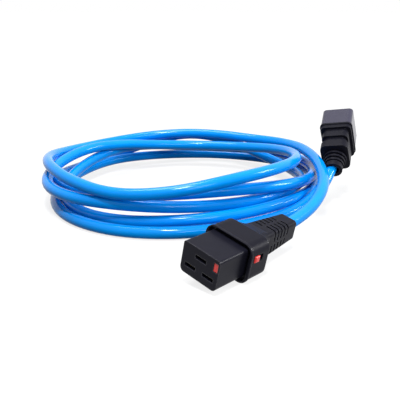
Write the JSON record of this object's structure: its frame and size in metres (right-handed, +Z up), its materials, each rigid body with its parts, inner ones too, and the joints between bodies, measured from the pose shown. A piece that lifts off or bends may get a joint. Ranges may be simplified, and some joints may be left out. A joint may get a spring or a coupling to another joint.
{
  "type": "power cord",
  "caption": "Loosely coiled three-core lead with a locking socket connector and red release at one end and a shrouded pin plug at the other.",
  "frame": {"origin": "on the floor under the middle of the socket connector's bounding box", "axes": "+Y along the connector from its mating face to its cord, +X towards the release button's side, +Z up from the floor"},
  "size_m": [0.285, 0.2502, 0.0732],
  "materials": {
    "cover_black": "moulded soft plastic, satin",
    "insert_black": "hard moulded plastic, satin",
    "release_red": "hard moulded plastic",
    "lock_steel": "spring steel, bare",
    "contact_brass": "stamped strip",
    "pin_nickel": "nickel plated brass",
    "core_brown": "core insulation",
    "core_light_blue": "core insulation",
    "core_green": "core insulation, green and yellow",
    "cord_blue": "smooth extruded sheath, satin"
  },
  "bodies": {
    "cord": {"connector_cover": "cover_black", "connector_nose": "insert_black", "connector_line_contact": "contact_brass", "connector_neutral_contact": "contact_brass", "connector_earth_contact": "contact_brass", "connector_line_core": "core_brown", "connector_neutral_core": "core_light_blue", "connector_earth_core": "core_green", "release_spring": "lock_steel", "plug_cover": "cover_black", "plug_carrier": "insert_black", "plug_line_pin": "pin_nickel", "plug_neutral_pin": "pin_nickel", "plug_earth_pin": "pin_nickel", "plug_line_core": "core_brown", "plug_neutral_core": "core_light_blue", "plug_earth_core": "core_green", "cord_lead": "cord_blue", "cord_coil": "cord_blue", "cord_tail": "cord_blue"},
    "release": {"release_slider": "release_red"},
    "lock": {"lock_plate": "lock_steel"}
  },
  "joints": [
    {"name": "release_slide", "type": "slide", "parent": "cord", "child": "release", "axis": [0, 1, 0], "range_m": [0, 0.0035], "stiffness_N_per_m": 400, "springref_m": -0.003, "deforming": ["release_spring"]},
    {"name": "lock_tilt", "type": "hinge", "parent": "cord", "child": "lock", "pos_m": [-0.00456, -0.0376, 0.02129], "axis": [0.213, 0, 0.977], "range_deg": [0, 12.3]}
  ],
  "couplings": [
    {"joint": "lock_tilt", "follows": "release_slide", "rad_per_m": 61.31}
  ]
}
